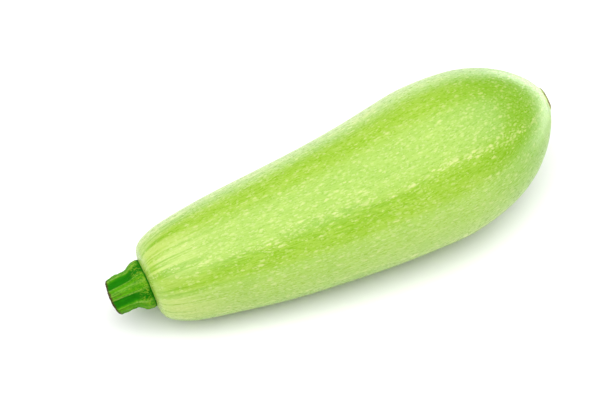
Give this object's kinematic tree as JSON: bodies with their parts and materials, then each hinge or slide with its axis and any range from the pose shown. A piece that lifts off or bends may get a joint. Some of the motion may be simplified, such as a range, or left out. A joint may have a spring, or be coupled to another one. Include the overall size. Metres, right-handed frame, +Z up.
{
  "type": "courgette",
  "caption": "Club-shaped pale green courgette with soft ridges, a cut ribbed stalk and a corky flower scar, lying on its belly as food on a table or shelf.",
  "frame": {"origin": "on the surface the courgette lies on, under the middle of its bounding box", "axes": "+X along the courgette from the cut stalk to the blossom end, +Z up, away from the surface it lies on"},
  "size_m": [0.1818, 0.0612, 0.062],
  "materials": {
    "skin": "thin waxy skin, pale yellow-green in long light and darker bands with fine pale flecks, soft satin gloss",
    "stalk": "deep green ribbed stalk, slightly bristly, with a brown dried cut end"
  },
  "bodies": {
    "root": {"fruit": "skin", "stalk": "stalk"}
  },
  "joints": []
}
